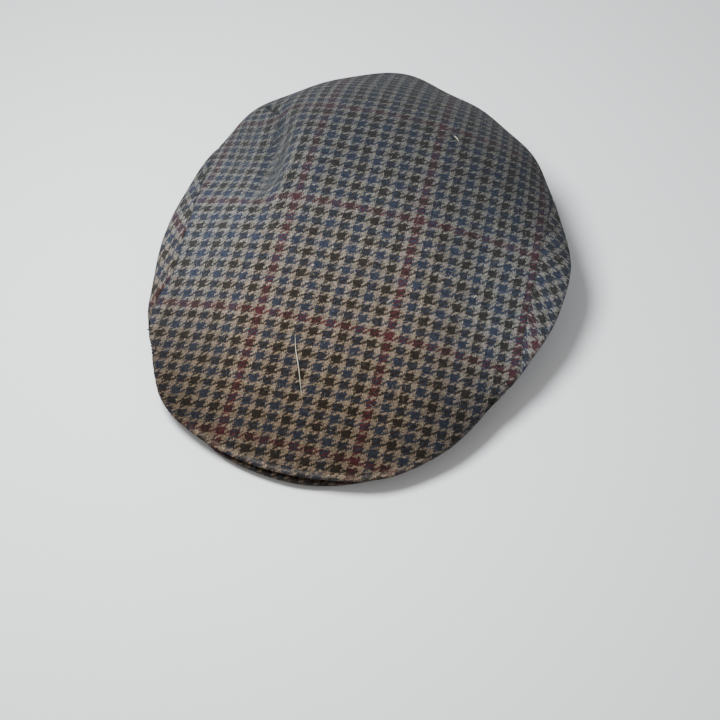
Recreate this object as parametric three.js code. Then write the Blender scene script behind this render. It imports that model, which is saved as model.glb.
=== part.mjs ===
// A wool flat cap in millimetres, +Z up, the peak towards -Y, standing on its hem.
// It has a one-piece top, two side panels that meet at the centre back, and a short peak covered in the
// same cloth. The cap is worked out round an upright hub line: an angle runs from the front (0) through the
// right side (90) and the back (180), and a stage e runs from the hub (0) out over the top to the shoulder,
// where the cap is widest (1), and on down the wall and under it to the foot (2).
import * as THREE from 'three';

// Driving sizes
const CLOTH = 2.0; // wall of the top and side panels
const HEM = 3.0; // turned-up edge that the cap stands on
const GAP = 0.35; // clearance at every seam
const HUB = [-2.04, -4.06]; // where the hub line stands, so that the whole cap is centred on the origin
const CROSS_FALL = 23; // how far the top falls away from its ridge at CROSS_REACH to either side
const CROSS_REACH = 110;
const ROUNDING = 4.5; // how late the top turns over into the shoulder
const WALL_TURN = 0.65; // how much of a quarter ellipse the wall follows from shoulder to foot
const SEAM_HALF = 101; // half the width of the top panel between its two straight side seams
const BACK_SEAM = 1.08; // the stage that the top's seam follows round the back, just below the shoulder
const SEAM_BLEND = 0.03; // how softly the straight seam turns into the back one
const SEAM_JOIN = 15; // degrees over which the straight seam runs out to the shoulder at a temple
const CORNER = 60; // angle of the temples, where the front of the top ends and the side panels begin
const OPENING = { halfX: 89, halfY: 101, y: 16 }; // oval of the hem's outer face
const PEAK = {
  middle: -13.1, // angle of its middle: the peak sits a little to the left
  proud: 3.35, // how far its edge stands out past the top's front wall
  tuckFrom: 0.129, // share of the way from its middle to a temple where the edge starts to draw in
  tuckPower: 1.92, // how late it draws in from there
  endProud: 2, // how far its ends stand out past the hem
  edgeHeight: 7.5, // top face at the outer edge, in the middle
  bandHeight: 13, // top face at the inner edge, in the middle
  endHeight: 5, // top face at the temples
  edgeThick: 4.6,
  bandThick: 3.2,
  seatInset: 5.2, // how far in from the peak's edge the top's turned edge rests
};

// The widest outline of the crown, seen from above, and its height, a row for each direction.
const RIM = [
  { angle: 0, reach: 126.8, shoulder: 10.5 },
  { angle: 30, reach: 123.7, shoulder: 14.5 },
  { angle: 60, reach: 108.4, shoulder: 24 },
  { angle: 90, reach: 120.5, shoulder: 36 },
  { angle: 120, reach: 119.5, shoulder: 42 },
  { angle: 150, reach: 121.4, shoulder: 46 },
  { angle: 180, reach: 148.1, shoulder: 48 },
  { angle: 210, reach: 123.8, shoulder: 45 },
  { angle: 240, reach: 113, shoulder: 41 },
  { angle: 270, reach: 111.9, shoulder: 36 },
  { angle: 300, reach: 126.1, shoulder: 18 },
  { angle: 330, reach: 130.3, shoulder: 10 },
];

// Rounded corners that stand out from that outline, or in from it: direction and half-width in degrees,
// and the distance out.
const CORNERS = [
  { angle: 24, wide: 8, out: 1.8 },
  { angle: 37, wide: 10, out: 2.2 },
  { angle: 101.2, wide: 9, out: 1.4 },
  { angle: 137.3, wide: 9, out: 4.5 },
  { angle: 170, wide: 9, out: -5.1 },
  { angle: 195, wide: 9, out: -1 },
  { angle: 224.7, wide: 11, out: 6.5 },
  { angle: 247, wide: 8, out: 2 },
  { angle: 266, wide: 10, out: 0.7 },
  { angle: 285, wide: 8, out: -0.6 },
  { angle: 321.4, wide: 9, out: 1.6 },
];

// How far the top is folded out over its front wall, in the same terms.
const FOLDS = [
  { angle: -40, wide: 10, out: 4.3 },
  { angle: -26, wide: 10, out: 3.3 },
  { angle: -12, wide: 10, out: 1.6 },
  { angle: 2, wide: 10, out: 1 },
  { angle: 16, wide: 10, out: 2.5 },
];

// The height of the top along its middle, from past the front edge to past the back.
const RIDGE = [
  { y: -160, height: -6 },
  { y: -120, height: 20 },
  { y: -80, height: 38 },
  { y: -40, height: 55 },
  { y: 0, height: 70 },
  { y: 40, height: 78 },
  { y: 80, height: 83.5 },
  { y: 120, height: 70.5 },
  { y: 160, height: 40 },
];

// Soft hollows in the top: the middle, the direction of the long way, half-lengths and depth.
const HOLLOWS = [
  { x: -80, y: 50, turn: 75, long: 44, wide: 26, depth: 7 },
  { x: -61, y: 45, turn: 94, long: 34, wide: 8, depth: 3.5 },
];

// Fineness
const COLUMN = 4; // degrees from column to column
const TOP_ROWS = 16;
const FRONT_ROWS = 5;
const SIDE_ROWS = 12;

const radians = (degrees) => (degrees * Math.PI) / 180;
const signed = (angle) => (((angle + 180) % 360) + 360) % 360 - 180;

// Cubic B-spline bump: the share of a row in a place that lies t rows away.
function share(t) {
  const a = Math.abs(t);
  if (a < 1) return (4 - 6 * a * a + 3 * a * a * a) / 6;
  return a < 2 ? (2 - a) ** 3 / 6 : 0;
}

// The bell curves of a table, summed at an angle.
function bells(table, angle) {
  const bell = (row) => row.out * Math.exp(-((signed(angle - row.angle) / row.wide) ** 2));
  return table.reduce((sum, row) => sum + bell(row), 0);
}

// A column of RIM at any angle, smoothed round the closed ring of rows.
function rim(column, angle) {
  const step = 360 / RIM.length;
  const ring = RIM.reduce((sum, row) => sum + row[column] * share(signed(angle - row.angle) / step), 0);
  if (column !== 'reach') return ring;
  return ring + bells(CORNERS, angle) + bells(FOLDS, angle);
}

// The height of the ridge at y, smoothed along its rows.
function ridge(y) {
  const place = (y - RIDGE[0].y) / (RIDGE[1].y - RIDGE[0].y);
  return RIDGE.reduce((sum, row, k) => sum + row.height * share(place - k), 0);
}

function hollow(x, y) {
  return HOLLOWS.reduce((sum, h) => {
    const [c, s] = [Math.cos(radians(h.turn)), Math.sin(radians(h.turn))];
    const along = ((x - h.x) * c + (y - h.y) * s) / h.long;
    const across = ((y - h.y) * c - (x - h.x) * s) / h.wide;
    return sum + h.depth * Math.exp(-along * along - across * across);
  }, 0);
}

const smoothstep = (from, to, value) => THREE.MathUtils.smoothstep(value, from, to);

// Distance from the hub line out to the hem's outer face.
function hemReach(angle) {
  const [s, c] = [Math.sin(radians(angle)), -Math.cos(radians(angle))];
  const a = (s / OPENING.halfX) ** 2 + (c / OPENING.halfY) ** 2;
  const b = (c * OPENING.y) / OPENING.halfY ** 2;
  return (b + Math.sqrt(b * b - a * ((OPENING.y / OPENING.halfY) ** 2 - 1))) / a;
}

// How far an angle lies from the front, and from the middle of the peak (0) towards a temple (1).
const fromFront = (angle) => Math.abs(signed(angle));
function fromPeak(angle) {
  const past = signed(angle) - PEAK.middle;
  return past > 0 ? past / (CORNER - PEAK.middle) : -past / (CORNER + PEAK.middle);
}

// The inner edge, the outer edge and the top face of the peak.
const peakInner = (angle) => hemReach(angle) - HEM;
function peakReach(angle) {
  const tuck = Math.max((fromPeak(angle) - PEAK.tuckFrom) / (1 - PEAK.tuckFrom), 0) ** PEAK.tuckPower;
  const wall = rim('reach', angle) - bells(FOLDS, angle);
  return THREE.MathUtils.lerp(wall + PEAK.proud, hemReach(angle) + PEAK.endProud, tuck);
}
function peakTop(angle, reach) {
  const drop = fromPeak(angle) ** 2;
  const edge = THREE.MathUtils.lerp(PEAK.edgeHeight, PEAK.endHeight, drop);
  const band = THREE.MathUtils.lerp(PEAK.bandHeight, PEAK.endHeight, drop);
  const [inner, outer] = [peakInner(angle), peakReach(angle)];
  return THREE.MathUtils.lerp(band, edge, (reach - inner) / (outer - inner));
}

// The stage of the seam between the top and a side panel: straight fore and aft, then round the back.
function seamStage(angle) {
  const side = Math.max(Math.abs(Math.sin(radians(angle))), 0.05);
  const straight = SEAM_HALF / (rim('reach', angle) * side);
  const soft = Math.exp(-straight / SEAM_BLEND) + Math.exp(-BACK_SEAM / SEAM_BLEND);
  const away = smoothstep(CORNER, CORNER + SEAM_JOIN, fromFront(angle));
  return THREE.MathUtils.lerp(1, -SEAM_BLEND * Math.log(soft), away);
}

// A foot is where the wall ends: on the peak for the front of the top, on the floor for the side panels.
const onPeak = (angle, inset) => {
  const reach = peakReach(angle) - PEAK.seatInset - inset;
  return { reach, height: peakTop(angle, reach) + GAP };
};
const onFloor = (angle, inset) => ({ reach: hemReach(angle) - (inset * HEM) / CLOTH, height: 0 });

// A point of the cloth. inset is 0 on its outer face and CLOTH on its inner one.
function cloth(angle, stage, inset, foot) {
  const [s, c] = [Math.sin(radians(angle)), -Math.cos(radians(angle))];
  const reach = rim('reach', angle) - inset;
  const shoulder = rim('shoulder', angle);
  let out;
  let height;
  if (stage <= 1) {
    out = stage * reach;
    const [x, y] = [out * s, out * c];
    const lid = ridge(y) - CROSS_FALL * (x / CROSS_REACH) ** 2 - hollow(x, y) - inset;
    height = shoulder + (lid - shoulder) * Math.sqrt(1 - stage ** ROUNDING);
  } else {
    const end = foot(angle, inset);
    const turn = ((stage - 1) * WALL_TURN * Math.PI) / 2;
    const full = (WALL_TURN * Math.PI) / 2;
    out = reach + ((end.reach - reach) * (1 - Math.cos(turn))) / (1 - Math.cos(full));
    height = shoulder + ((end.height - shoulder) * Math.sin(turn)) / Math.sin(full);
  }
  return [HUB[0] + out * s, HUB[1] + out * c, height];
}

// A closed body from its points and its triangles, which share corners and face out.
function body(points, triangles) {
  const geometry = new THREE.BufferGeometry();
  geometry.setAttribute('position', new THREE.Float32BufferAttribute(points.flat(), 3));
  geometry.setIndex(triangles.flat());
  geometry.computeVertexNormals();
  return geometry;
}

// A cloth wall from the triangles of its outer face. point(i, inset) places corner i on either face, and
// each free edge of the face is closed by a strip between the two.
function wall(count, point, face) {
  const outer = Array.from({ length: count }, (_, i) => point(i, 0));
  const inner = Array.from({ length: count }, (_, i) => point(i, CLOTH));
  const edges = new Map();
  for (const [a, b, c] of face) {
    for (const [from, to] of [[a, b], [b, c], [c, a]]) edges.set(`${from},${to}`, [from, to]);
  }
  const triangles = [...face, ...face.map(([a, b, c]) => [a + count, c + count, b + count])];
  for (const [from, to] of edges.values()) {
    if (edges.has(`${to},${from}`)) continue;
    triangles.push([to, from, from + count], [to, from + count, to + count]);
  }
  return body([...outer, ...inner], triangles);
}

const quad = (a, b, c, d) => [[a, b, c], [a, c, d]];

// The top: rings of points from the hub out to the seam, and at the front on down to the peak.
function topPanel() {
  const columns = 360 / COLUMN;
  const spread = (k) => 1 - (1 - k / TOP_ROWS) ** 1.6;
  const places = [[0, 0]];
  const index = new Map();
  for (let row = 1; row <= TOP_ROWS + FRONT_ROWS; row += 1) {
    for (let column = 0; column < columns; column += 1) {
      const angle = column * COLUMN;
      const front = fromFront(angle) <= CORNER;
      if (row > TOP_ROWS && !front) continue;
      const edge = seamStage(angle) - GAP / rim('reach', angle);
      const stage = row <= TOP_ROWS ? edge * spread(row) : 1 + (row - TOP_ROWS) / FRONT_ROWS;
      index.set(`${row},${column}`, places.length);
      places.push([angle, stage]);
    }
  }
  const face = [];
  for (let column = 0; column < columns; column += 1) {
    const next = (column + 1) % columns;
    face.push([0, index.get(`1,${column}`), index.get(`1,${next}`)]);
    for (let row = 1; row < TOP_ROWS + FRONT_ROWS; row += 1) {
      const corners = [[row, column], [row + 1, column], [row + 1, next], [row, next]];
      const found = corners.map(([r, c]) => index.get(`${r},${c}`));
      if (found.every((i) => i !== undefined)) face.push(...quad(...found));
    }
  }
  const foot = (angle, inset) => (fromFront(angle) <= CORNER ? onPeak : onFloor)(angle, inset);
  return wall(places.length, (i, inset) => cloth(...places[i], inset, foot), face);
}

// Stages evenly far apart along the cloth, from the seam down to the floor.
function evenStages(angle, from) {
  const steps = 60;
  const fine = Array.from({ length: steps + 1 }, (_, i) => THREE.MathUtils.lerp(from, 2, i / steps));
  const marks = fine.map((stage) => new THREE.Vector3(...cloth(angle, stage, 0, onFloor)));
  const run = [0];
  for (let i = 1; i <= steps; i += 1) run.push(run[i - 1] + marks[i].distanceTo(marks[i - 1]));
  return Array.from({ length: SIDE_ROWS + 1 }, (_, row) => {
    if (row === SIDE_ROWS) return 2;
    const want = (run[steps] * row) / SIDE_ROWS;
    const i = Math.max(run.findIndex((far) => far >= want), 1);
    return THREE.MathUtils.lerp(fine[i - 1], fine[i], (want - run[i - 1]) / (run[i] - run[i - 1]));
  });
}

// A side panel: columns from the temple to the centre back, rows from the seam down to the hem.
// side is 1 on the right and -1 on the left.
function sidePanel(side) {
  const columns = (180 - CORNER) / COLUMN;
  const places = [];
  for (let column = 0; column <= columns; column += 1) {
    const plain = CORNER + column * COLUMN;
    const nudge = { 0: 1, [columns]: -0.5 }[column] ?? 0;
    const angle = side * (plain + THREE.MathUtils.radToDeg((nudge * GAP) / hemReach(side * plain)));
    const from = seamStage(angle) + GAP / rim('reach', angle);
    for (const stage of evenStages(angle, from)) places.push([angle, stage]);
  }
  const face = [];
  const at = (column, row) => column * (SIDE_ROWS + 1) + row;
  for (let column = 0; column < columns; column += 1) {
    for (let row = 0; row < SIDE_ROWS; row += 1) {
      const corners = [at(column, row), at(column, row + 1), at(column + 1, row + 1), at(column + 1, row)];
      face.push(...quad(...(side > 0 ? corners : corners.reverse())));
    }
  }
  return wall(places.length, (i, inset) => cloth(...places[i], inset, onFloor), face);
}

// The peak: one section, round at its outer edge, carried from temple to temple.
function peak() {
  // The round of the outer edge: out past the flat, and the share of the thickness down.
  const nose = [[0.35, 0.02], [1.1, 0.2], [1.4, 0.5], [1.1, 0.8], [0.35, 0.98]];
  const columns = (2 * CORNER) / COLUMN;
  const points = [];
  for (let column = 0; column <= columns; column += 1) {
    const angle = -CORNER + column * COLUMN;
    const [s, c] = [Math.sin(radians(angle)), -Math.cos(radians(angle))];
    const [inner, edge] = [peakInner(angle), peakReach(angle) - 1.4];
    const section = [[inner, 0, PEAK.bandThick]];
    for (const part of [0.5, 0.85]) {
      section.push([THREE.MathUtils.lerp(inner, edge, part), 0, PEAK.edgeThick]);
    }
    for (const [out, down] of nose) section.push([edge + out, down, PEAK.edgeThick]);
    section.push([THREE.MathUtils.lerp(inner, edge, 0.85), 1, PEAK.edgeThick]);
    section.push([THREE.MathUtils.lerp(inner, edge, 0.5), 1, (PEAK.edgeThick + PEAK.bandThick) / 2]);
    section.push([inner, 1, PEAK.bandThick]);
    for (const [reach, down, thick] of section) {
      const height = peakTop(angle, Math.min(reach, edge)) - down * thick;
      points.push([HUB[0] + reach * s, HUB[1] + reach * c, height]);
    }
  }
  const around = points.length / (columns + 1);
  const triangles = [];
  for (let column = 0; column < columns; column += 1) {
    for (let k = 0; k < around; k += 1) {
      const [a, b] = [column * around + k, column * around + ((k + 1) % around)];
      triangles.push(...quad(a, b, b + around, a + around));
    }
  }
  const last = columns * around;
  for (let k = 1; k < around - 1; k += 1) {
    triangles.push([0, k + 1, k], [last, last + k, last + k + 1]);
  }
  return body(points, triangles);
}

const tweed = { color: 0x5b5a5c, roughness: 0.95, metalness: 0 };
const cap = new THREE.Group();
function add(name, geometry) {
  const mesh = new THREE.Mesh(geometry, new THREE.MeshStandardMaterial(tweed));
  mesh.name = name;
  cap.add(mesh);
}
add('crown_top', topPanel());
add('side_right', sidePanel(1));
add('side_left', sidePanel(-1));
add('peak', peak());

export default cap;
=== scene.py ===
"""A wool flat cap in a check tweed: top panel, side panels, peak and the nap of the cloth.

It is laid out as a Blender add-on and run as a script. The pieces stand in metres in the frame of the
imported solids; the tables below are in millimetres, round an upright hub line.
"""

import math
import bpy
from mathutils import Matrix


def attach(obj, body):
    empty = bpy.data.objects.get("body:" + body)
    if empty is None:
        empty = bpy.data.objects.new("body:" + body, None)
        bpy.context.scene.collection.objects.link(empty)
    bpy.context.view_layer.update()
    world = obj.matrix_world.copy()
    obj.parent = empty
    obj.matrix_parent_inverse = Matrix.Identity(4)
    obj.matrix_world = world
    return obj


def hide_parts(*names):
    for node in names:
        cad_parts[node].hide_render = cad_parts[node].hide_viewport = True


bl_info = {
    "name": "Flat Cap",
    "version": (1, 0, 0),
    "blender": (4, 5, 0),
    "location": "3D View > Sidebar > Flat Cap",
    "description": "Dresses the solids of a flat cap in woven tweed",
    "category": "Object",
}

from functools import partialmethod

import bpy
import numpy as np
from mathutils import Vector

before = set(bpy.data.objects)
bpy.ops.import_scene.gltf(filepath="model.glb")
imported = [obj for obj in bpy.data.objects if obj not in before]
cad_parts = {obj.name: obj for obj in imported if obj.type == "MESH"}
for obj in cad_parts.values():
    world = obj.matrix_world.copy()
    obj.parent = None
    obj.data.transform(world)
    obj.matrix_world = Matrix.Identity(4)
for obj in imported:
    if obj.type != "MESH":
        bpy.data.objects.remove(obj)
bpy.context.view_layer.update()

MM = 0.001
join = np.concatenate

# --- The form of the cap, in millimetres ---

HUB = (-2.04, -4.06)
CROSS_FALL = 23.0  # how far the top falls away from its ridge at CROSS_REACH to either side
CROSS_REACH = 110.0
ROUNDING = 4.5  # how late the top turns over into the shoulder
WALL_TURN = math.radians(58.5)  # the part of a quarter ellipse that the wall follows down to its foot
SEAM_HALF = 101.0  # half the width of the top between its two straight side seams
SEAM_JOIN = 15.0  # degrees over which a side seam runs out to the shoulder at a temple
BACK_SEAM = 1.08  # how far down the seam lies round the back, 1 being the shoulder
SEAM_BLEND = 0.03  # how softly those two run into each other
SEAM_GAP = 0.1  # how far each panel stops short of the seam line
TEMPLE = 60.0  # angle from the front where the peak ends
OPENING = {"half_x": 89.0, "half_y": 101.0, "y": 16.0}
HEM = 3.0  # thickness of the turned-up edge round the opening


def table(columns, *rows):
    """Rows of numbers under named columns."""
    return np.array(list(rows), dtype=[(column, float) for column in columns.split()])


# The widest outline of the crown from above, and its height, a row for each direction from the front.
RIM = table(
    "angle reach shoulder",
    (0, 126.8, 10.5), (30, 123.7, 14.5), (60, 108.4, 24), (90, 120.5, 36),
    (120, 119.5, 42), (150, 121.4, 46), (180, 148.1, 48), (210, 123.8, 45),
    (240, 113, 41), (270, 111.9, 36), (300, 126.1, 18), (330, 130.3, 10),
)

# Rounded corners that stand out from that outline, or in from it.
CORNERS = table(
    "angle wide out",
    (24, 8, 1.8), (37, 10, 2.2), (101.2, 9, 1.4), (137.3, 9, 4.5), (170, 9, -5.1), (195, 9, -1),
    (224.7, 11, 6.5), (247, 8, 2), (266, 10, 0.7), (285, 8, -0.6), (321.4, 9, 1.6),
)

# How far the top is folded out over its front wall, in the same terms.
FOLDS = table("angle wide out", (-40, 10, 4.3), (-26, 10, 3.3), (-12, 10, 1.6), (2, 10, 1), (16, 10, 2.5))

# The height of the top along its middle, front to back.
RIDGE = table(
    "y height",
    (-160, -6), (-120, 20), (-80, 38), (-40, 55), (0, 70), (40, 78), (80, 83.5), (120, 70.5), (160, 40),
)

# Soft hollows in the top: middle, direction of the long way, half-lengths and depth.
HOLLOWS = table("x y turn long wide depth", (-80, 50, 75, 44, 26, 7), (-61, 45, 94, 34, 8, 3.5))

# Folds where the crown has slumped: path from above, depth, half-width, how far the nap is brushed up and
# how much shade is painted into the bottom.
CREASES = (
    (((-65, 80), (-63, 66), (-61, 52), (-59, 38), (-60, 25), (-64, 16), (-73, 8)), 3.0, 5.0, 0.56, 0.0),
    (((-81, 88), (-75, 82.5), (-65.5, 74.5)), 2.0, 1.5, 0.2, 0.8),
    (((-78, 78), (-80, 62), (-80, 42), (-84, 24)), 0.0, 12.0, 0.22, 0.0),
)
# The cloth taken up by the long fold: its line from above, and how far the rows are dragged down on the
# left of it and up on the right, and the columns drawn together on the left.
DRAG = {"across": -54.0, "turn": -0.19, "wide": 12.0, "rows": 7.0, "columns": 0.30}

# The peak: angle of its middle, how far it stands out, the heights of its top face, its thicknesses, how
# far in from its edge the crown's wall sits and how high over it, and how far its edge is rounded over.
PEAK = {
    "middle": -13.1, "proud": 3.35, "tuck_from": 0.129, "tuck_power": 1.92, "end_proud": 2.0,
    "edge_height": 7.5, "band_height": 13.0, "end_height": 5.0, "edge_thick": 4.6, "band_thick": 3.2,
    "seat_inset": 5.2, "seat_gap": 0.35, "round": 1.9,
}


def signed(angle):
    """An angle brought to between -180 and 180 degrees."""
    return (np.asarray(angle, float) + 180.0) % 360.0 - 180.0


def ray(angle):
    """The direction from the hub line at an angle: its x part and its y part."""
    return np.sin(np.radians(angle)), -np.cos(np.radians(angle))


def share(t):
    """Cubic B-spline bump: the share of a row of a table in a place that lies t rows away."""
    a = np.abs(t)
    near = (4.0 - 6.0 * a**2 + 3.0 * a**3) / 6.0
    far = np.clip(2.0 - a, 0.0, None) ** 3 / 6.0
    return np.where(a < 1.0, near, far)


def ramp(low, high, value):
    """0 below low, 1 above high, and 3t^2 - 2t^3 between them."""
    t = np.clip((value - low) / (high - low), 0.0, 1.0)
    return t * t * (3.0 - 2.0 * t)


def bell(off, wide):
    """A bell curve, exp(-(off / wide)^2)."""
    return np.exp(-((off / wide) ** 2))


def bells(rows, angle):
    """The bell curves of a table, summed at an angle."""
    return (rows["out"] * bell(signed(angle[..., None] - rows["angle"]), rows["wide"])).sum(-1)


def rim(column, angle):
    """A column of RIM at any angle, smoothed round the ring; corners and folds stand out as bell curves."""
    angle = np.asarray(angle, float)
    ring = (RIM[column] * share(signed(angle[..., None] - RIM["angle"]) / 30.0)).sum(-1)
    return ring + bells(CORNERS, angle) + bells(FOLDS, angle) if column == "reach" else ring


def lid(x, y):
    """Height of the top: the ridge along the middle, less a square fall to each side and the hollows."""
    ridge = (RIDGE["height"] * share((y[..., None] - RIDGE["y"]) / 40.0)).sum(-1)
    turn = np.radians(HOLLOWS["turn"])
    dx, dy = x[..., None] - HOLLOWS["x"], y[..., None] - HOLLOWS["y"]
    along = (dx * np.cos(turn) + dy * np.sin(turn)) / HOLLOWS["long"]
    across = (dy * np.cos(turn) - dx * np.sin(turn)) / HOLLOWS["wide"]
    hollow = (HOLLOWS["depth"] * np.exp(-(along**2) - across**2)).sum(-1)
    return ridge - CROSS_FALL * (x / CROSS_REACH) ** 2 - hollow


def hem_reach(angle):
    """Distance from the hub line to the hem's outer face: where a ray meets the oval of the opening."""
    s, c = ray(angle)
    a = (s / OPENING["half_x"]) ** 2 + (c / OPENING["half_y"]) ** 2
    b = c * OPENING["y"] / OPENING["half_y"] ** 2
    return (b + np.sqrt(b * b - a * ((OPENING["y"] / OPENING["half_y"]) ** 2 - 1.0))) / a


def from_peak(angle):
    """0 at the middle of the peak and 1 at either temple."""
    past = signed(angle) - PEAK["middle"]
    return np.where(past > 0.0, past / (TEMPLE - PEAK["middle"]), -past / (TEMPLE + PEAK["middle"]))


def peak_reach(angle):
    """The peak's outer edge: outside the top's wall in the middle, drawn in to the hem at the temples."""
    past = np.clip((from_peak(angle) - PEAK["tuck_from"]) / (1.0 - PEAK["tuck_from"]), 0.0, 1.0)
    tuck = past ** PEAK["tuck_power"]
    wall = rim("reach", angle) - bells(FOLDS, np.asarray(angle, float)) + PEAK["proud"]
    return wall + (hem_reach(angle) + PEAK["end_proud"] - wall) * tuck


def peak_top(angle, reach):
    """Height of the peak's top face: straight from its inner edge to its outer one."""
    drop = np.clip(from_peak(angle), 0.0, 1.0) ** 2
    edge = PEAK["edge_height"] + (PEAK["end_height"] - PEAK["edge_height"]) * drop
    band = PEAK["band_height"] + (PEAK["end_height"] - PEAK["band_height"]) * drop
    inner, outer = hem_reach(angle) - HEM, peak_reach(angle)
    return band + (edge - band) * (reach - inner) / (outer - inner)


def seam_stage(angle):
    """Where the top's edge lies: straight fore and aft at the sides, below the shoulder round the back,
    and in front it runs on down from the temples to the fold that rests on the peak."""
    away = np.abs(signed(angle))
    side = np.clip(np.abs(np.sin(np.radians(angle))), 0.05, None)
    straight = SEAM_HALF / (rim("reach", angle) * side)
    soft = -SEAM_BLEND * np.log(np.exp(-straight / SEAM_BLEND) + np.exp(-BACK_SEAM / SEAM_BLEND))
    behind, before = ramp(TEMPLE, TEMPLE + SEAM_JOIN, away), ramp(TEMPLE, TEMPLE - 10.0, away)
    return 1.0 + (soft - 1.0) * behind + before


def foot(angle):
    """Where the wall ends: on the peak between the temples, and elsewhere at the hem on the floor."""
    past = ramp(TEMPLE, TEMPLE + 4.0, np.abs(signed(angle)))
    seat = peak_reach(angle) - PEAK["seat_inset"]
    height = peak_top(angle, seat) + PEAK["seat_gap"]
    return seat + (hem_reach(angle) - seat) * past, height * (1.0 - past)


def cap_face(angle, stage):
    """The cloth's outer face. Stage 0 is the hub and 1 the shoulder: the height goes from the lid down to
    the shoulder as sqrt(1 - stage^ROUNDING). From 1 to 2 part of an ellipse turns down and in to the foot.
    """
    s, c = ray(angle)
    reach, shoulder = rim("reach", angle), rim("shoulder", angle)
    over = np.clip(stage, 0.0, 1.0)
    top = shoulder + (lid(over * reach * s, over * reach * c) - shoulder) * np.sqrt(1.0 - over**ROUNDING)
    end_reach, end_height = foot(angle)
    turn = np.clip(stage - 1.0, 0.0, 1.0) * WALL_TURN
    out = over * reach + (end_reach - reach) * (1.0 - np.cos(turn)) / (1.0 - math.cos(WALL_TURN))
    height = top + (end_height - shoulder) * np.sin(turn) / math.sin(WALL_TURN)
    return np.stack([HUB[0] + out * s, HUB[1] + out * c, height], -1)


def unit(vectors, least=0.0):
    """Vectors divided by their lengths."""
    return vectors / (np.linalg.norm(vectors, axis=-1, keepdims=True) + least)


def run_along(points):
    """Run of cloth down each column of points: the sum of its steps, from 0 at its start."""
    step = np.linalg.norm(np.diff(points, axis=1), axis=-1)
    return join([np.zeros((len(points), 1)), np.cumsum(step, axis=1)], axis=1)


def even_stages(angle, start, end, rows, crowd):
    """Stages from start to end for every angle, evenly far apart along the cloth and closer towards the
    end. The run of each column is summed from fine steps, and all columns are inverted in one call."""
    fine = np.linspace(0.0, 1.0, 400)
    stage = start[:, None] + (end - start)[:, None] * fine
    run = run_along(cap_face(angle[:, None], stage))
    length = run[:, -1:]
    column = 2.0 * np.arange(len(angle))[:, None]
    want = 1.0 - (1.0 - np.linspace(0.0, 1.0, rows + 1)) ** crowd
    found = np.interp((column + want).ravel(), (column + run / length).ravel(), stage.ravel())
    return found.reshape(len(angle), rows + 1), length * want


# --- How the cloth lies ---

GRAIN_TURN = math.radians(-1.7)  # the grain lies almost straight fore and aft
GRAIN_SKEW = -0.039
# Where in the cloth each side panel was cut, right and left, and the peak's cover.
SIDE_CUT = {1: (33.0, 12.4), -1: (-15.4, -0.2)}
PEAK_CUT = (11.0, 3.0)
MAP_HALF = 170
# How handling has drawn the check out of true, for each 100 mm squared: a row for across, one for along.
DRAWN = table("across mixed along", (1.1, 5.7, 2.1), (-5.3, -2.2, 3.1))


def from_above(x, y):
    """Angle and stage of the top under the place x, y from the hub line."""
    angle = np.degrees(np.arctan2(x, -y))
    return angle, np.clip(np.hypot(x, y) / rim("reach", angle), 0.0, 1.0)


def arc_maps():
    """Run of cloth over the top from its middle lines: across at each y, and along at each x. Both are the
    sums of the slope lengths over a square grid of 1 mm, MAP_HALF to each side of the hub line."""
    line = np.arange(-MAP_HALF, MAP_HALF + 1.0)
    x, y = np.meshgrid(line, line, indexing="ij")
    angle, stage = from_above(x, y)
    shoulder = rim("shoulder", angle)
    height = shoulder + (lid(x, y) - shoulder) * np.sqrt(1.0 - stage**ROUNDING)
    maps = []
    for axis in (0, 1):
        run = np.cumsum(np.sqrt(1.0 + np.diff(height, axis=axis) ** 2), axis=axis)
        run = join([np.zeros_like(np.take(run, [0], axis)), run], axis=axis)
        maps.append(run - np.take(run, [MAP_HALF], axis))
    return maps


def look_up(grid, x, y):
    """Straight-line blend of the four entries of a 1 mm grid round each point."""
    i, j = (np.clip(place + MAP_HALF, 0.0, 2.0 * MAP_HALF - 1.0) for place in (x, y))
    i0, j0 = i.astype(int), j.astype(int)
    fi, fj = i - i0, j - j0
    low = grid[i0, j0] * (1 - fi) + grid[i0 + 1, j0] * fi
    high = grid[i0, j0 + 1] * (1 - fi) + grid[i0 + 1, j0 + 1] * fi
    return low * (1 - fj) + high * fj


def draw_out(across, along):
    """Turns and skews the grain, then adds the second-order stretch of DRAWN."""
    c, s = math.cos(GRAIN_TURN), math.sin(GRAIN_TURN)
    place = np.stack([across * c + along * s, -across * s + along * c + GRAIN_SKEW * across], -1)
    a, b = place[..., :1] / 100.0, place[..., 1:] / 100.0
    return place + (DRAWN["across"] * (a * a) + DRAWN["mixed"] * (a * b) + DRAWN["along"] * (b * b))


def dragged(x, y):
    """How far the cloth has slipped beside the long fold: t / (1 + t^2) across it, more at the back."""
    past = x - DRAG["across"] - DRAG["turn"] * (y - 12.0)
    t = past / DRAG["wide"]
    rows = -2.0 * t / (1.0 + t * t) * DRAG["rows"] * ramp(-30.0, 75.0, y)
    columns = -DRAG["columns"] * np.clip(-past - 5.0, 0.0, 40.0) * ramp(5.0, 40.0, y)
    return np.stack([columns, rows], -1)


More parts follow.
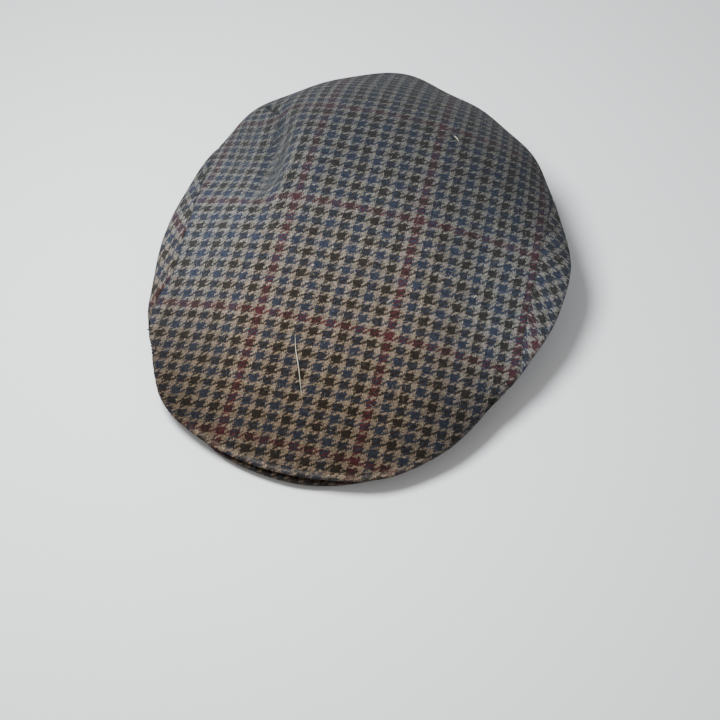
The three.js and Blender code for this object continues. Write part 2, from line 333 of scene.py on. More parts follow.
def top_cloth(points, stage):
    """Place in the cloth for points of the top: looked up from above as far as the shoulder, and run on
    straight down the wall from there."""
    across, along = arc_maps()
    x, y = points[..., 0] - HUB[0], points[..., 1] - HUB[1]
    place = np.stack([look_up(across, x, y), look_up(along, x, y)], -1)
    last = np.maximum((stage <= 0.97).sum(1) - 1, 1)
    rows = np.arange(stage.shape[1])[None, :]
    columns = np.arange(len(stage))
    edge, before = place[columns, last], place[columns, np.maximum(last - 6, 0)]
    heading = unit(edge - before)
    run = run_along(points)
    past = run - run[columns, last][:, None]
    wall = edge[:, None] + heading[:, None] * past[..., None]
    place = np.where((rows > last[:, None])[..., None], wall, place)
    return draw_out(place[..., 0], place[..., 1]) + dragged(x, y)


# --- Meshes ---

# Points round the edge of a wall, and along the flat and round the edge of the peak's section.
LIP_POINTS, FLAT_POINTS, ROUND_POINTS = 4, 24, 13
# Unevenness of worn cloth, in mm: how far it is sunk, its swells, the waves across them, and the wall's.
RELIEF = {"sunk": 0.35, "swell": 0.30, "cross": 0.22, "wall": 0.20}
# How far from an edge or from the hub that unevenness dies away, in mm.
CALM = {"top": 10.0, "hub": 20.0, "side": 14.0}
TURN_UP = (14.0, 10.0)  # heights between which the turned-up hem thickens the wall, in mm
# A seam, in mm: half-width of the dip at its stitches and of the painted shade along it, how dark that
# shade is, and the swell's place and width.
SEAM = {"dip": 1.1, "dark": 0.9, "shade": 0.35, "swell_at": 4.0, "swell": 2.6}
# The fold in front: degrees inside the temples where it starts and is whole, how far along the cloth it is
# pressed thin and to what share, the place, width and nap of the line along its crest, which carries a
# painted highlight and rubbed-up nap, and the angles between which that line fades.
FRONT_FOLD = {
    "starts": 6.0, "whole": 12.0, "pressed": 16.0, "thin": 0.04, "worn_at": 1.6, "worn": 1.0, "nap": 0.7,
    "fades": (36.0, 22.0),
}
# How much painted shade darkens each region of the crown, and how much painted light lightens it.
PAINTED_DARKER = {"front": 0.42, "flank": 0.46, "right": 0.02, "back": 0.47}
PAINTED_LIGHTER = {"left": 0.32, "left_middle": -0.20, "edge": 0.28}
# Painted light on the cloth of each side panel against the top's, and how far it is browned in front.
SIDE_PAINTED_LIGHT = {1: 1.2, -1: 0.98}
SIDE_BROWNED = {1: 0.0, -1: 0.25}
EDGE_SHADE = 0.55  # painted shade on a cut edge, where it turns into a seam


def facing(grid, ring):
    """Unit normals: the cross product of the way down the columns and the way round them. The columns of a
    ring start at a pole that faces up."""
    round_way = np.roll(grid, -1, 0) - np.roll(grid, 1, 0) if ring else np.gradient(grid, axis=0)
    normal = np.cross(np.gradient(grid, axis=1), round_way)
    size = np.linalg.norm(normal, axis=-1, keepdims=True)
    normal = normal / np.where(size > 1e-9, size, 1.0)
    if ring:
        normal[:, 0] = (0.0, 0.0, 1.0)
    return normal


def lip(edge, before, normal, thick):
    """The half round that closes a wall's edge, from its outer face to its inner one. Thick may be one
    number or one for each column."""
    thick = np.broadcast_to(thick, len(edge))[:, None]
    ahead = unit(edge - before)
    around = np.linspace(0.0, math.pi, LIP_POINTS + 2)[1:-1]
    centre = edge - normal * thick / 2.0
    turn = normal[:, None] * np.cos(around)[:, None] + ahead[:, None] * np.sin(around)[:, None]
    return centre[:, None] + turn * (thick[:, None] / 2.0)


def quads(index, ring):
    """The faces of a grid of corner numbers, facing out where columns run anticlockwise and rows outwards.
    The columns of a ring follow on round it, and each column of a strip closes on itself."""
    if ring:
        nexts = np.roll(index, -1, 0)
        a, a2, b, b2 = index[:, :-1], index[:, 1:], nexts[:, :-1], nexts[:, 1:]
    else:
        a, b = index[:-1], index[1:]
        a2, b2 = np.roll(a, -1, 1), np.roll(b, -1, 1)
    return np.stack([a, a2, b2, b], -1).reshape(-1, 4)


def relief(points, stage):
    """Small unevenness of worn cloth: a few long sine waves that cross each other, in millimetres."""
    x, y, z = points[..., 0], points[..., 1], points[..., 2]
    wave = -RELIEF["sunk"] + RELIEF["swell"] * np.sin(x / 17.0 + 1.3) * np.sin(y / 21.0 + 0.4)
    wave += RELIEF["cross"] * np.sin((x + 0.7 * y) / 9.5 + 2.0) * np.sin((y - 0.4 * x) / 26.0)
    on_wall = ramp(0.8, 1.2, stage)
    return wave + RELIEF["wall"] * np.sin((y + z) / 7.5 + 0.5 * np.sin(x / 11.0)) * on_wall


def from_path(points, path):
    """Distance from above to a path of straight stretches, and how far along it the nearest place lies."""
    start, end = np.array(path[:-1], float), np.array(path[1:], float)
    stretch = end - start
    length = np.linalg.norm(stretch, axis=-1)
    at = points[..., None, :2] - np.array(HUB) - start
    along = np.clip((at * stretch).sum(-1) / length**2, 0.0, 1.0)
    gap = np.linalg.norm(at - along[..., None] * stretch, axis=-1)
    nearest = gap.argmin(-1)[..., None]
    run = join([[0.0], np.cumsum(length)[:-1]]) + along * length
    gap, run = (np.take_along_axis(values, nearest, -1)[..., 0] for values in (gap, run))
    return gap, run / length.sum()


def creases(points):
    """The folds where the crown has slumped at the back left: each is a bell across its path that fades
    towards both ends. Gives their depth, the nap brushed up in them, and the shade painted into them."""
    depth, brushed, dark = 0.0, 0.0, 0.0
    for path, deep, wide, nap, black in CREASES:
        gap, run = from_path(points, path)
        fold = bell(gap, wide) * ramp(1.02, 0.75, run)
        depth = depth + deep * fold * ramp(0.0, 0.3, run)
        brushed = np.maximum(brushed, nap * fold * ramp(0.0, 0.3, run))
        # Painted shade in the bottom of the fold.
        dark = dark + black * fold * ramp(0.0, 0.1, run)
    return depth, brushed, dark


def seam_dip(distance, cap):
    """A seam: the cloth dives at its stitches and swells beside them over the turned-in allowance."""
    swell = cap.seam_swell * bell(distance - SEAM["swell_at"], SEAM["swell"])
    return swell - cap.seam_depth * bell(distance, SEAM["dip"])


def warm_front_share(points):
    """Share of the warm tint in front, soil from hands and painted warm light: 0 at the back and 1 at the
    front, later along the flanks than in the middle, and less on the right.
    """
    x, y = points[..., 0], points[..., 1]
    late = ramp(30.0, 95.0, np.abs(x))
    return (1.0 - ramp(-110.0, 60.0 - 65.0 * late, y)) * (1.0 - 0.5 * ramp(20.0, 105.0, x))


def painted_light_and_shade(points):
    """Painted light and shade on the cloth: 1 on top, painted shade towards the front, its flanks, the right
    and the back, and painted light on the left and along the right edge."""
    x, y = points[..., 0], points[..., 1]
    front = ramp(-35.0, -130.0, y)
    flank = ramp(35.0, 95.0, np.abs(x)) * ramp(-30.0, -90.0, y)
    right = ramp(0.0, 75.0, x) * ramp(128.0, 98.0, x)
    back = ramp(-45.0, 70.0, y)
    left = ramp(25.0, 85.0, -x) * ramp(-120.0, -85.0, y)
    left_middle = left * bell(y + 38.0, 26.0)
    edge = ramp(58.0, 92.0, x) * ramp(-80.0, -45.0, y) * ramp(45.0, 5.0, y)
    light = (1.0 - PAINTED_DARKER["front"] * front) * (1.0 - PAINTED_DARKER["flank"] * flank)
    light = light * (1.0 - PAINTED_DARKER["right"] * right) * (1.0 - PAINTED_DARKER["back"] * back)
    light = light * (1.0 + PAINTED_LIGHTER["left"] * left + PAINTED_LIGHTER["left_middle"] * left_middle)
    return light * (1.0 + PAINTED_LIGHTER["edge"] * edge)


def seam_shade(distance):
    """1 on open cloth, and darker with painted shade in the bottom of a seam."""
    return 1.0 - SEAM["shade"] * bell(distance, SEAM["dark"])


def link(name, data):
    """Adds an object to the scene."""
    made = bpy.data.objects.new(name, data)
    bpy.context.scene.collection.objects.link(made)
    return made


def put_mesh(name, points, faces, lined, cloth, shade_and_wear, materials):
    """One piece at the origin, in metres and smooth. It carries its place in the cloth, in millimetres, as a
    UV map, and as an attribute its painted light and shade, brushed-up nap, and share of the warm tint.
    faces is a list of arrays of corner numbers, and lined marks the faces of the lining, or is False for
    none."""
    points, cloth, shade_and_wear = (np.reshape(a, (-1, n)) for a, n in ((points, 3), (cloth, 2), (shade_and_wear, 3)))
    corner = join([f.ravel() for f in faces]).astype(np.int32)
    sides = join([np.full(len(f), f.shape[1]) for f in faces])
    mesh = bpy.data.meshes.new(name)
    mesh.vertices.add(len(points))
    mesh.vertices.foreach_set("co", (points * MM).astype(np.float32).ravel())
    mesh.loops.add(len(corner))
    mesh.loops.foreach_set("vertex_index", corner)
    mesh.polygons.add(len(sides))
    mesh.polygons.foreach_set("loop_start", (np.cumsum(sides) - sides).astype(np.int32))
    for material in materials:
        mesh.materials.append(material)
    mesh.polygons.foreach_set("material_index", np.full(len(sides), lined, np.int32))
    mesh.polygons.foreach_set("use_smooth", np.ones(len(sides), bool))
    mesh.update(calc_edges=True)
    mesh.uv_layers.new(name="cloth").data.foreach_set("uv", cloth.astype(np.float32)[corner].ravel())
    worn = join([shade_and_wear, np.ones((len(shade_and_wear), 1))], axis=1).astype(np.float32)
    mesh.attributes.new("shade_and_wear", "FLOAT_COLOR", "POINT").data.foreach_set("color", worn.ravel())
    piece = link(name, mesh)
    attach(piece, "root")
    return piece


def make_top(cap, materials):
    """A ring of columns from the hub out to the edge. The wall is closed by a half round and an inner face,
    and both faces meet at a pole on the hub line. The cloth is pressed thin along the fold in front, and its
    seam allowance is turned in before the lining starts."""
    columns, rows = cap.top_columns, cap.top_rows
    angle = np.arange(columns) * 360.0 / columns
    edge = seam_stage(angle) - SEAM_GAP / rim("reach", angle)
    stage, run = even_stages(angle, np.zeros(columns), edge, rows, crowd=1.35)
    face = cap_face(angle[:, None], stage)
    cloth = top_cloth(face, stage)
    normal = facing(face, True)
    inside_temple = TEMPLE - np.abs(signed(angle))
    folded = ramp(FRONT_FOLD["starts"], FRONT_FOLD["whole"], inside_temple)[:, None]
    to_edge = run[:, -1:] - run
    sunk, brushed, dark = creases(face)
    above = run[np.arange(columns), (stage <= 1.0).sum(1) - 1][:, None] - run
    pressed = np.clip(np.abs(above) / FRONT_FOLD["pressed"], FRONT_FOLD["thin"], 1.0)
    pressed = 1.0 - folded * (1.0 - pressed)
    lift = relief(face, stage) * ramp(-2.0, CALM["top"], to_edge) * pressed
    lift = (lift + seam_dip(to_edge, cap) * (1.0 - folded) - sunk) * ramp(0.0, CALM["hub"], run)
    face = face + normal * lift[..., None]
    normal = facing(face, True)
    # The front fold gets a painted highlight along its crest, where the nap is also brushed up.
    in_front = ramp(*FRONT_FOLD["fades"], np.abs(signed(angle + 1.0)))[:, None]
    fold_line = bell(above - FRONT_FOLD["worn_at"], FRONT_FOLD["worn"]) * in_front
    fold_highlight = 1.0 + cap.fold_highlight * fold_line
    shade = seam_shade(to_edge) * (1.0 - folded) + fold_highlight * folded
    brushed = np.maximum(brushed, FRONT_FOLD["nap"] * fold_line)
    # Painted shade of seams and folds, the fold's painted highlight, and painted light and shade over the
    # crown.
    shade_and_wear = np.stack([shade * (1.0 - dark) * painted_light_and_shade(face), brushed, warm_front_share(face)], -1)
    thick = cap.cloth_thick / MM * pressed
    inner = face - normal * thick[..., None]
    inner[:, 0] = inner[:, 0].mean(0)
    rounding = lip(face[:, -1], face[:, -2], normal[:, -1], thick[:, -1])
    grid = join([face[:, 1:], rounding, inner[:, :0:-1]], axis=1)
    # Painted shade on the half round at the edge, lighter where it is folded over the peak.
    edge_shade_and_wear = shade_and_wear[:, -1:].copy()
    edge_shade_and_wear[..., 0] *= EDGE_SHADE + 0.35 * folded
    shade_and_wear_round, cloth_round = (
        join([value[:, 1:], np.repeat(edge_value, LIP_POINTS, 1), value[:, :0:-1]], axis=1)
        for value, edge_value in ((shade_and_wear, edge_shade_and_wear), (cloth, cloth[:, -1:]))
    )
    loop = grid.shape[1]
    index = np.arange(columns * loop).reshape(columns, loop)
    hub, under = columns * loop, columns * loop + 1
    sheet = quads(index, True)
    first, last = index[:, 0], index[:, -1]
    cap_over = np.stack([np.full(columns, hub), first, np.roll(first, -1)], -1)
    cap_under = np.stack([np.full(columns, under), np.roll(last, -1), last], -1)
    inside = sheet[:, 0] % loop >= rows + LIP_POINTS - 1 + rows // 12
    lined = join([inside, np.zeros(columns, bool), np.ones(columns, bool)])
    points = join([grid.reshape(-1, 3), face[:1, 0], inner[:1, 0]])
    placed = join([cloth_round.reshape(-1, 2), cloth[:1, 0], cloth[:1, 0]])
    worn = join([shade_and_wear_round.reshape(-1, 3), shade_and_wear[:1, 0], shade_and_wear[:1, 0]])
    faces = [sheet, cap_over, cap_under]
    piece = put_mesh("crown_top_cloth", points, faces, lined, placed, worn, materials)
    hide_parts("crown_top")


def strip_faces(grid):
    """The faces of a strip whose columns are closed loops: its walls, then its flat ends, which are rungs
    between the two sides of the loop."""
    columns, loop = grid.shape[:2]
    index = np.arange(columns * loop).reshape(columns, loop)
    half, last = np.arange((loop - 1) // 2), index[-1, 0]
    rungs = np.stack([half, half + 1, loop - 2 - half, loop - 1 - half], -1)
    square, point = rungs[rungs[:, 1] != rungs[:, 2]], rungs[rungs[:, 1] == rungs[:, 2]][:, [0, 1, 3]]
    return [quads(index, False), square[:, ::-1], square + last, point[:, ::-1], point + last]


def round_side(value, seam_edge):
    """Values of a side's outer face, carried round its hem, up its inner face and over its seam edge."""
    hem, seam = np.repeat(value[:, -1:], LIP_POINTS, 1), np.repeat(seam_edge, LIP_POINTS, 1)
    return join([value, hem, value[:, ::-1], seam], axis=1)


def make_side(cap, materials, side):
    """Columns from the temple to the centre back, rows from the seam down to the hem. Each column is a
    closed loop of outer face, hem, inner face and seam edge. side is 1 on the right and -1 on the left."""
    columns, rows = cap.side_columns, cap.side_rows
    underlap, back_gap = 9.0, 0.05
    away = TEMPLE - underlap + (180.0 + underlap - TEMPLE) * np.linspace(0.0, 1.0, columns)
    away[-1] -= back_gap
    angle = side * away[::side]
    start = seam_stage(angle) + SEAM_GAP / rim("reach", angle)
    stage, run = even_stages(angle, start, np.full(columns, 2.0), rows, crowd=1.0)
    face = cap_face(angle[:, None], stage)
    normal = facing(face, False)
    up = run[:, -1:] - run
    back = (180.0 - np.abs(angle)) * rim("reach", angle) * math.pi / 180.0
    lift = relief(face, stage) * ramp(0.0, CALM["side"], run) * ramp(0.0, CALM["side"], up)
    lift = lift + seam_dip(run, cap) + seam_dip(back, cap)[:, None] * ramp(0.0, 6.0, run)
    face = face + normal * lift[..., None]
    normal = facing(face, False)
    thin, hem = cap.cloth_thick / MM, cap.hem_thick / MM
    thick = thin + (hem - thin) * ramp(*TURN_UP, up)
    inner = face - normal * thick[..., None]
    low = lip(face[:, -1], face[:, -2], normal[:, -1], hem)
    high = lip(face[:, 0], face[:, 1], normal[:, 0], thin)[:, ::-1]
    grid = join([face, low, inner[:, ::-1], high], axis=1)
    grid[..., 2] = np.clip(grid[..., 2], 0.0, None)
    middle = run_along(face[None, :, rows // 2])[0]
    backward = (middle if side > 0 else middle[-1] - middle)[:, None] + 0.0 * run
    c, s = math.cos(cap.side_grain), math.sin(cap.side_grain)
    cloth = np.stack([side * (backward * c + up * s), up * c - backward * s], -1) + SIDE_CUT[side]
    placed = round_side(cloth, cloth[:, :1])
    # Painted shade in the seams and in the last 5 mm above the hem.
    shade = seam_shade(run) * seam_shade(back)[:, None] * (0.8 + 0.2 * ramp(0.0, 5.0, up))
    browned = SIDE_BROWNED[side] * ramp(25.0, -20.0, face[..., 1])
    soil = np.clip(warm_front_share(face) + browned, 0.0, 1.0)
    # Painted light and shade over the panel, and the share of the warm tint.
    shade_and_wear = np.stack([shade * SIDE_PAINTED_LIGHT[side] * painted_light_and_shade(face), 0.0 * shade, soil], -1)
    worn = round_side(shade_and_wear, shade_and_wear[:, :1] * (EDGE_SHADE, 1, 1))
    faces = strip_faces(grid)
    row = faces[0][:, 0] % grid.shape[1]
    inside = (row >= rows + LIP_POINTS + 1) & (row < grid.shape[1] - LIP_POINTS - 1)
    lined = join([inside, np.zeros(sum(len(f) for f in faces[1:]), bool)])
    name = "side_right" if side > 0 else "side_left"
    piece = put_mesh(name + "_cloth", grid, faces, lined, placed, worn, materials)
    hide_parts(name)


def make_peak(cap, materials):
    """One closed section, flat above and below with a full round at its outer edge, carried from temple to
    temple; its height follows the straight slope of the solid peak."""
    columns = cap.peak_columns
    angle = np.linspace(-TEMPLE, TEMPLE, columns)[:, None]
    inner, edge = hem_reach(angle) - HEM, peak_reach(angle) - PEAK["round"]
    flat = np.linspace(0.0, 1.0, FLAT_POINTS)[None, :]
    turn = np.linspace(-math.pi / 2, math.pi / 2, ROUND_POINTS + 2)[None, 1:-1]
    across = inner + (edge - inner) * flat
    reach = join([across, edge + PEAK["round"] * np.cos(turn), across[:, ::-1]], axis=1)
    depth = join([0.0 * flat, 0.5 + 0.5 * np.sin(turn), 1.0 + 0.0 * flat], axis=1)
    share_out = np.clip((reach - inner) / (edge - inner), 0.0, 1.0)
    thick = PEAK["band_thick"] + (PEAK["edge_thick"] - PEAK["band_thick"]) * share_out
    height = peak_top(angle, np.minimum(reach, edge)) - depth * thick
    s, c = ray(angle)
    grid = np.stack([HUB[0] + reach * s, HUB[1] + reach * c, height], -1)
    bound = inner + run_along(grid)
    cloth = np.stack([bound * s, bound * c], -1) + PEAK_CUT
    rolled = join([0.0 * flat, 0.0 * turn + 1.0, 0.0 * flat], axis=1)
    # Painted shade: darker towards the peak's edge, and darker still round its rolled edge, which faces down
    # out of the light.
    near_edge = bell(np.minimum(edge - reach, 12.0), 8.0) * (1.0 - rolled) + rolled
    shade = (1.0 - cap.peak_edge_shade * near_edge) * (1.0 - 0.35 * rolled)
    shade_and_wear = np.stack([shade, 0.0 * shade, warm_front_share(grid)], -1)
    faces = strip_faces(grid)
    piece = put_mesh("peak_cloth", grid, faces, False, cloth, shade_and_wear, materials)
    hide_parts("peak")


# Loose fibres that catch the eye: path from above, height off the cloth in its middle, and radius.
FIBRES = (
    (((-20.1, -61.8), (-17.9, -69.1), (-13.6, -78.5), (-8.3, -92.5)), 1.2, 0.26),
    (((38.2, 71.6), (40.2, 70.0), (42.0, 68.3)), 0.5, 0.42),
    (((70.0, -19.6), (70.8, -18.4), (71.9, -18.0)), 0.5, 0.30),
    (((95.0, -10.9), (95.8, -10.2), (96.3, -9.0)), 0.5, 0.26),
)


def on_cloth(x, y, off):
    """The place above the cap's face at x and y from the hub line, held off it by a height."""
    points = cap_face(*from_above(x, y))
    points[..., 2] += relief(points, 0.0 * x) + off
    return points


def tubes(paths, radius):
    """Three-sided tubes along many paths at once, tapering as a half sine towards both tips. paths is a
    stack of point rows; the sides are turned about each path's own direction."""
    ahead = unit(np.gradient(paths, axis=1))
    side = unit(np.cross(ahead, (0.0, 0.0, 1.0)), 1e-9)
    up = np.cross(side, ahead)
    taper = 0.15 + 0.85 * np.sin(np.linspace(0.0, math.pi, paths.shape[1]))[None, :, None, None]
    turn = (np.arange(3) * 2.0 * math.pi / 3.0)[None, None, :, None]
    ring = side[:, :, None] * np.cos(turn) + up[:, :, None] * np.sin(turn)
    points = paths[:, :, None] + ring * taper * np.asarray(radius)[:, None, None, None]
    index = np.arange(points[..., 0].size).reshape(points.shape[:3])
    a, b = index[:, :-1], index[:, 1:]
    walls = np.stack([a, np.roll(a, -1, 2), np.roll(b, -1, 2), b], -1).reshape(-1, 4)
    ends = join([index[:, 0, ::-1], index[:, -1]])
    return points.reshape(-1, 3), [walls, ends]


def make_fibres(cap, material):
    """A few long loose fibres on the crown, and short ones all over it that lean at random."""
    chance = np.random.default_rng(7)
    long_paths = []
    t = np.linspace(0.0, 1.0, 9)
    for path, off, _ in FIBRES:
        x, y = (np.interp(t, np.linspace(0.0, 1.0, len(path)), part) for part in zip(*path))
        long_paths.append(on_cloth(x, y, 0.25 + off * np.sin(t * math.pi)))
    short = cap.short_fibres
    spot = chance.uniform(0.0, 1.0, (short, 2))
    angle, out = spot[:, 0] * 360.0, np.sqrt(spot[:, 1]) * 0.96
    reach = out * rim("reach", angle)
    x, y = (reach * part for part in ray(angle))
    heading = chance.uniform(0.0, 2.0 * math.pi, short)
    bend = chance.normal(0.0, 0.6, short)
    size = chance.uniform(1.2, 3.4, short)
    way = heading[:, None] + bend[:, None] * t
    px = x[:, None] + size[:, None] * np.cumsum(np.cos(way), 1) / len(t)
    py = y[:, None] + size[:, None] * np.cumsum(np.sin(way), 1) / len(t)
    short_paths = on_cloth(px, py, chance.uniform(0.2, 1.0, short)[:, None] * t)
    paths = join([np.array(long_paths), short_paths])
    radius = join([[row[2] for row in FIBRES], chance.uniform(0.025, 0.045, short)])
    points, faces = tubes(paths, radius)
    cloth = np.repeat(np.arange(len(paths))[:, None] * (1.7, 0.0), 3 * len(t), 0)
    put_mesh("loose_fibres", points, faces, False, cloth, np.ones((len(points), 3)), [material])


# --- Materials ---


class Wire:
    """A value in a material's node tree. Sums of wires and numbers add the Math nodes they need."""

    def __init__(self, shader, socket):
        self.shader, self.socket = shader, socket

    def math(self, operation, *others):
        return self.shader.wire("ShaderNodeMath", dict(enumerate((self, *others))), operation=operation)

    def reflected(self, operation, other):
        return self.shader.wire("ShaderNodeMath", {0: other, 1: self}, operation=operation)

    __add__ = __radd__ = partialmethod(math, "ADD")
    __sub__ = partialmethod(math, "SUBTRACT")
    __rsub__ = partialmethod(reflected, "SUBTRACT")
    __mul__ = __rmul__ = partialmethod(math, "MULTIPLY")
    __truediv__ = partialmethod(math, "DIVIDE")
    __mod__ = partialmethod(math, "FLOORED_MODULO")
    __lt__ = partialmethod(math, "LESS_THAN")
    __gt__ = partialmethod(math, "GREATER_THAN")


class Shader:
    """Builds one material's node tree."""

    def __init__(self, name):
        self.material = bpy.data.materials.new(name)
        self.material.use_nodes = True
        self.tree = self.material.node_tree
        self.tree.nodes.clear()

    def node(self, kind, values=None, **settings):
        """Adds a node, sets what it is first, and then gives its sockets their values or links."""
        made = self.tree.nodes.new(kind)
        for key, value in settings.items():
            setattr(made, key, value)
        for key, value in (values or {}).items():
            if isinstance(value, Wire):
                self.tree.links.new(value.socket, made.inputs[key])
            else:
                made.inputs[key].default_value = value
        return made

    def wire(self, kind, values=None, output=0, **settings):
        return Wire(self, self.node(kind, values, **settings).outputs[output])

    def mix(self, factor, first, second, blend="MIX"):
        """The colour between two colours."""
        values = {0: factor, 6: first, 7: second}
        return self.wire("ShaderNodeMix", values, 2, data_type="RGBA", blend_type=blend)

    def noise(self, place, scale, detail=2.0, rough=0.5, output=0):
        values = {"Vector": place, "Scale": scale, "Detail": detail, "Roughness": rough}
        return self.wire("ShaderNodeTexNoise", values, output)

    def split(self, wire, kind="ShaderNodeSeparateColor"):
        """The three parts of a colour or a vector."""
        made = self.node(kind, {0: wire})
        return [Wire(self, made.outputs[k]) for k in range(3)]

    def noises(self, place, scale, detail):
        """Three unlike noises at once."""
        return self.split(self.noise(place, scale, detail, output=1))

    def toned(self, rgb, tone):
        """A colour made lighter or darker by a number."""
        grey = self.wire("ShaderNodeCombineColor", {0: tone, 1: tone, 2: tone})
        return self.mix(1.0, rgb, grey, "MULTIPLY")

    def finish(self, values):
        """The surface: one Principled shader, and its output."""
        skin = self.wire("ShaderNodeBsdfPrincipled", values)
        self.node("ShaderNodeOutputMaterial", {"Surface": skin})

    def chance(self, number, seed):
        """A fixed random value between 0 and 1 for each whole number."""
        return self.wire("ShaderNodeTexWhiteNoise", {"W": number + seed}, noise_dimensions="1D")


def colour(rgb):
    return (*rgb, 1.0)


def tweed(look):
    """A 2/2 twill with four coloured and four light threads in turn, both ways. The coloured threads are
    blue and brown in turn, with burgundy every ninth time across and every eleventh time along."""
    s = Shader("check_tweed")
    uv = s.wire("ShaderNodeUVMap", uv_map="cloth")
    shade_and_wear = s.split(s.wire("ShaderNodeAttribute", attribute_name="shade_and_wear"))
    sway, fray, strand = s.noises(uv, 0.35, 2.0), s.noises(uv, 1.25, 3.0), s.noises(uv, 0.9, 3.0)
    at = s.split(uv, "ShaderNodeSeparateXYZ")
    across = at[0] + (sway[0] - 0.5) * look.wander + (fray[0] - 0.5) * look.fray
    along = at[1] + (sway[1] - 0.5) * look.wander + (fray[1] - 0.5) * look.fray

    warp = (across - look.first_across) / look.warp_pitch
    weft = (along - look.first_along) / look.weft_pitch
    warp_no, weft_no = warp.math("FLOOR"), weft.math("FLOOR")
    warp_in, weft_in = warp - warp_no, weft - weft_no

    def thread_colour(place, number, repeat, spread, seed):
        place = place + spread
        turn = (place / 8.0).math("FLOOR") % repeat
        coloured = (place % 8.0) < 4.0 + 2.0 * spread
        pair = s.mix((turn % 2.0) > 0.5, colour(look.brown), colour(look.blue))
        dark = s.mix(turn < 0.5, pair, colour(look.burgundy))
        both = s.mix(coloured, colour(look.ground), dark)
        tone = s.chance(number, seed) * look.thread_tone + (1.0 - 0.5 * look.thread_tone)
        return s.toned(both, tone)

    slant = warp_no - weft_no + look.twill_step
    warp_up = (slant % 4.0) < 1.5
    weft_dye = thread_colour(weft, weft_no, 11.0, look.weft_spread, 71.3)
    warp_dye = thread_colour(warp, warp_no, 9.0, look.warp_spread, 13.7)
    woven = s.mix(warp_up * (1.0 - look.softness) + 0.5 * look.softness, weft_dye, warp_dye)

    # The round of each thread, and the rise and fall of each float of two threads.
    half = math.pi / 2.0
    warp_float = ((slant + 1.0 - weft_in) % 4.0 * half).math("SINE")
    weft_float = ((slant + warp_in - 2.0) % 4.0 * half).math("SINE")
    warp_high = (warp_in * math.pi).math("SINE") * (warp_float * 0.5 + 0.5)
    weft_high = (weft_in * math.pi).math("SINE") * (weft_float * 0.5 + 0.5)
    height = warp_up * warp_high + (1.0 - warp_up) * weft_high
    fibre = s.noise(uv, 2.2, 3.0, 0.7)
    cloud = s.noise(uv, 0.05, 2.0, 0.5)
    knot = s.wire("ShaderNodeCombineXYZ", {0: warp_no, 1: weft_no, 2: 0.0})
    float_tone = s.wire("ShaderNodeTexWhiteNoise", {"Vector": knot}, noise_dimensions="2D")

    shade = height * look.hollow_shade + (1.0 - 0.65 * look.hollow_shade)
    shade = shade * ((fibre - 0.5) * look.fibre_tone + 1.0) * ((float_tone - 0.5) * look.float_tone + 1.0)
    # The piece's painted light and shade darkens or lightens the weave.
    shade = shade * (cloud * 0.3 + 0.85) * shade_and_wear[0]
    dyed = s.toned(woven, shade)
    parts = {0: strand[0] * 1.4 + 0.3, 1: strand[1] * 0.7 + 0.65, 2: strand[2] * 1.4 + 0.3}
    melange = s.wire("ShaderNodeCombineColor", parts)
    dyed = s.mix(look.melange, dyed, s.mix(1.0, dyed, melange, "MULTIPLY"))
    nap = (s.noise(uv, 1.1, 3.0, 0.65) - 0.38).math("MAXIMUM", 0.0) * look.nap
    felted = s.mix(nap + (1.0 - shade_and_wear[2]) * look.felting, dyed, s.toned(colour(look.felt), shade))
    napped = s.mix(shade_and_wear[1] * 0.85, felted, s.toned(colour(look.nap_colour), shade))
    # Warm tint in front, for soil from hands and painted warm light, and cool tint at the back, for fading
    # and painted cool light.
    tinted = s.mix(1.0, napped, s.mix(shade_and_wear[2], colour(look.fading_and_cool_light), colour(look.soil_and_warm_light)), "MULTIPLY")

    rise = height * 0.75 + fibre * 0.5
    bump = s.wire("ShaderNodeBump", {"Strength": 0.9, "Distance": look.relief, "Height": rise})
    s.finish({
        "Base Color": tinted, "Roughness": fibre * 0.15 + 0.82, "Specular IOR Level": 0.10, "Normal": bump,
        "Sheen Weight": look.sheen, "Sheen Roughness": 0.5, "Sheen Tint": colour((0.72, 0.72, 0.75)),
    })
    return s.material


def lining(look):
    """Plain dark satin inside the cap, with fine ribs that follow the cloth."""
    s = Shader("satin_lining")
    uv = s.wire("ShaderNodeUVMap", uv_map="cloth")
    at = s.split(uv, "ShaderNodeSeparateXYZ")
    ribs = (at[0] * 9.0).math("SINE") * 0.5 + 0.5
    slub = s.noise(uv, 0.4, 3.0, 0.6)
    tone = ribs * 0.2 + slub * 0.5 + 0.55
    bump = s.wire("ShaderNodeBump", {"Strength": 0.5, "Distance": 0.0001, "Height": ribs})
    satin = s.toned(colour(look.satin), tone)
    s.finish({"Base Color": satin, "Roughness": slub * 0.2 + 0.35, "Normal": bump})
    return s.material


def wool(look):
    """Undyed fibre, a little different from one to the next."""
    s = Shader("loose_wool")
    uv = s.wire("ShaderNodeUVMap", uv_map="cloth")
    tone = s.chance(s.split(uv, "ShaderNodeSeparateXYZ")[0], 3.1) * 0.6 + 0.5
    s.finish({"Base Color": s.toned(colour(look.fibre), tone), "Roughness": 0.6, "Specular IOR Level": 0.3})
    return s.material


def floor_finish(stage):
    """Matt pale paint with a trace of unevenness."""
    s = Shader("pale_floor")
    place = s.wire("ShaderNodeTexCoord", output=3)
    paint = s.toned(colour(stage.floor_colour), s.noise(place, 3.0) * 0.03 + 0.985)
    s.finish({"Base Color": paint, "Roughness": 0.75, "Specular IOR Level": 0.2})
    return s.material


# --- Settings ---


def setting(kind, **fixed):
    """A maker of one kind of setting, from the setting's name, description and default."""
    return lambda name, description, default: kind(
        name=name, description=description, default=default, **fixed
    )


